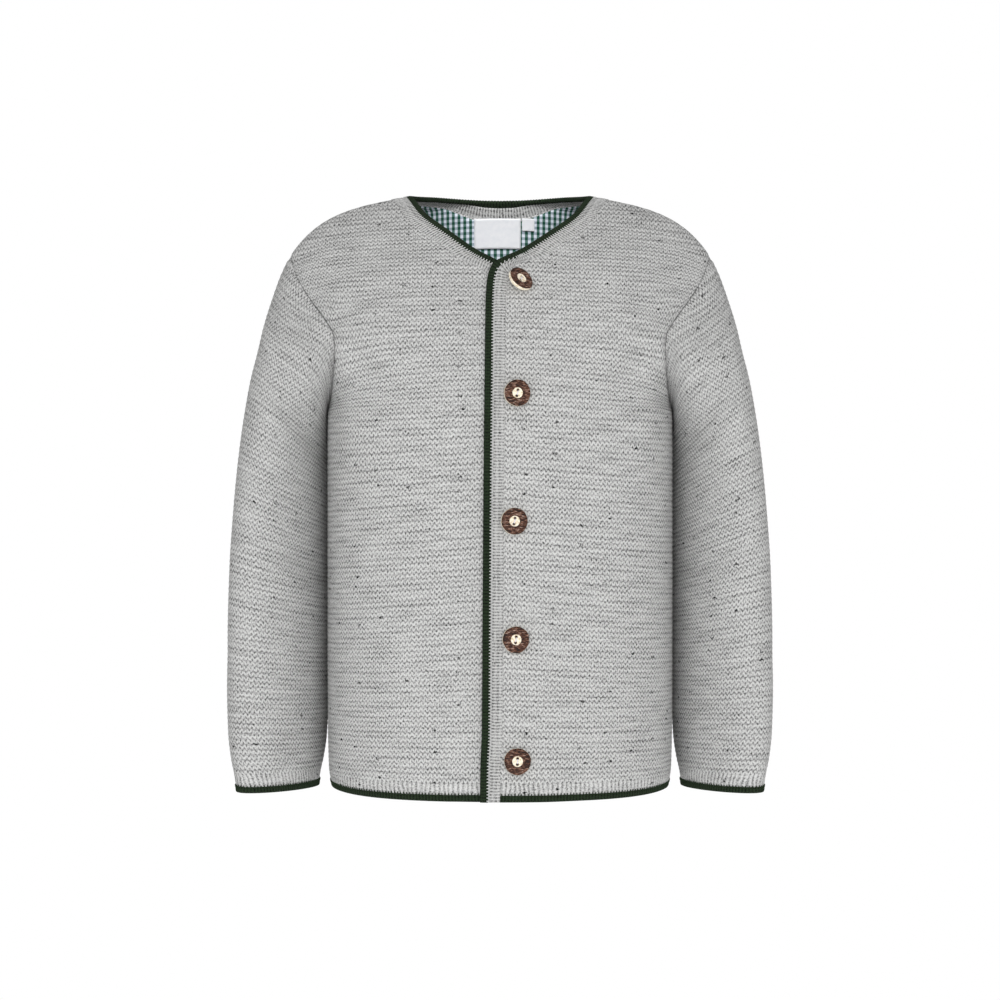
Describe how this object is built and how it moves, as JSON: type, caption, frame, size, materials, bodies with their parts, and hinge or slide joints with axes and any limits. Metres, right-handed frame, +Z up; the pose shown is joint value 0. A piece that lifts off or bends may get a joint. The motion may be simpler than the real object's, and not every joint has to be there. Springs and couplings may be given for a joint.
{
  "type": "child's knitted cardigan",
  "caption": "Round-neck child's cardigan in light grey garter knit with dark green edges, horn buttons and a checked back-neck facing, filled out as worn",
  "frame": {"origin": "in the middle of the neck opening, at the height of the neck points, where the wearer's neck and shoulders hold the cardigan", "axes": "+Z up, the front with its buttons faces -Y, +X towards the wearer's left sleeve"},
  "size_m": [0.3934, 0.1862, 0.436],
  "materials": {
    "garter_knit": "melange cotton garter knit",
    "plain_knit_band": "melange cotton plain knit",
    "green_edge": "dark green knitted edge",
    "gingham": "green and white checked cotton",
    "woven_label": "plain white woven label",
    "horn": "imitation stag horn",
    "sewing_thread": "white sewing thread"
  },
  "bodies": {
    "root": {"front_left": "garter_knit", "front_right": "garter_knit", "back": "garter_knit", "sleeve_left": "garter_knit", "sleeve_right": "garter_knit", "front_band_left": "plain_knit_band", "front_band_right": "plain_knit_band", "neck_band": "plain_knit_band", "front_edge_left": "green_edge", "front_edge_right": "green_edge", "neck_edge": "green_edge", "hem_edge_left": "green_edge", "hem_edge_right": "green_edge", "hem_edge_back": "green_edge", "cuff_edge_left": "green_edge", "cuff_edge_right": "green_edge", "neck_facing": "gingham", "main_label": "woven_label", "size_label": "woven_label", "button_1": "horn", "button_2": "horn", "button_3": "horn", "button_4": "horn", "button_5": "horn", "button_thread_1": "sewing_thread", "button_thread_2": "sewing_thread", "button_thread_3": "sewing_thread", "button_thread_4": "sewing_thread", "button_thread_5": "sewing_thread"}
  },
  "joints": []
}
